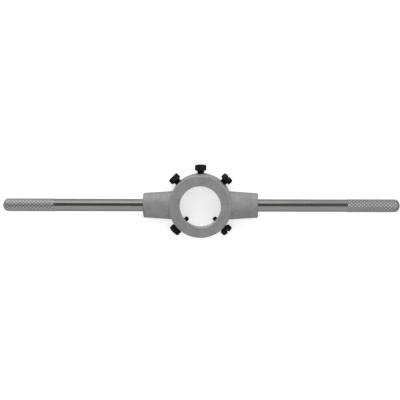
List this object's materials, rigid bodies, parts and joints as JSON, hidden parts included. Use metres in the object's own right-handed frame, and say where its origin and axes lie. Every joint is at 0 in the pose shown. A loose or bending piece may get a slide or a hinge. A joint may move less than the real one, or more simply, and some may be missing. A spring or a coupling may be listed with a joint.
{
  "type": "die stock",
  "caption": "Cast ring with a stepped seat for a round threading die, radial adjusting and locking screws, and straight bar handles with knurled grips.",
  "frame": {"origin": "on the axis of the die seat, in the plane of the open face that the stock lies on", "axes": "+X along the right handle, +Y towards the spreading screw, +Z from the open face to the lip face"},
  "size_m": [0.32, 0.0579, 0.019],
  "materials": {
    "cast_zinc": "matt silver-grey die casting",
    "plated_steel": "bright plated",
    "black_steel": "black oxide"
  },
  "bodies": {
    "stock": {"stock_body": "cast_zinc", "left_handle": "plated_steel", "right_handle": "plated_steel"},
    "spreading_screw": {"spreading_screw": "black_steel"},
    "closing_screw_left": {"closing_screw_left": "black_steel"},
    "closing_screw_right": {"closing_screw_right": "black_steel"},
    "locking_screw_left": {"locking_screw_left": "black_steel"},
    "locking_screw_right": {"locking_screw_right": "black_steel"}
  },
  "joints": [
    {"name": "spreading_screw_travel", "type": "slide", "parent": "stock", "child": "spreading_screw", "axis": [0, 1, 0], "range_m": [-0.0022, 0.0028]},
    {"name": "closing_screw_left_travel", "type": "slide", "parent": "stock", "child": "closing_screw_left", "axis": [-0.7071, 0.7071, 0], "range_m": [-0.002, 0.0034]},
    {"name": "closing_screw_right_travel", "type": "slide", "parent": "stock", "child": "closing_screw_right", "axis": [0.7071, 0.7071, 0], "range_m": [-0.002, 0.0034]},
    {"name": "locking_screw_left_travel", "type": "slide", "parent": "stock", "child": "locking_screw_left", "axis": [-0.7071, -0.7071, 0], "range_m": [-0.0012, 0.005]},
    {"name": "locking_screw_right_travel", "type": "slide", "parent": "stock", "child": "locking_screw_right", "axis": [0.7071, -0.7071, 0], "range_m": [-0.0012, 0.005]}
  ]
}
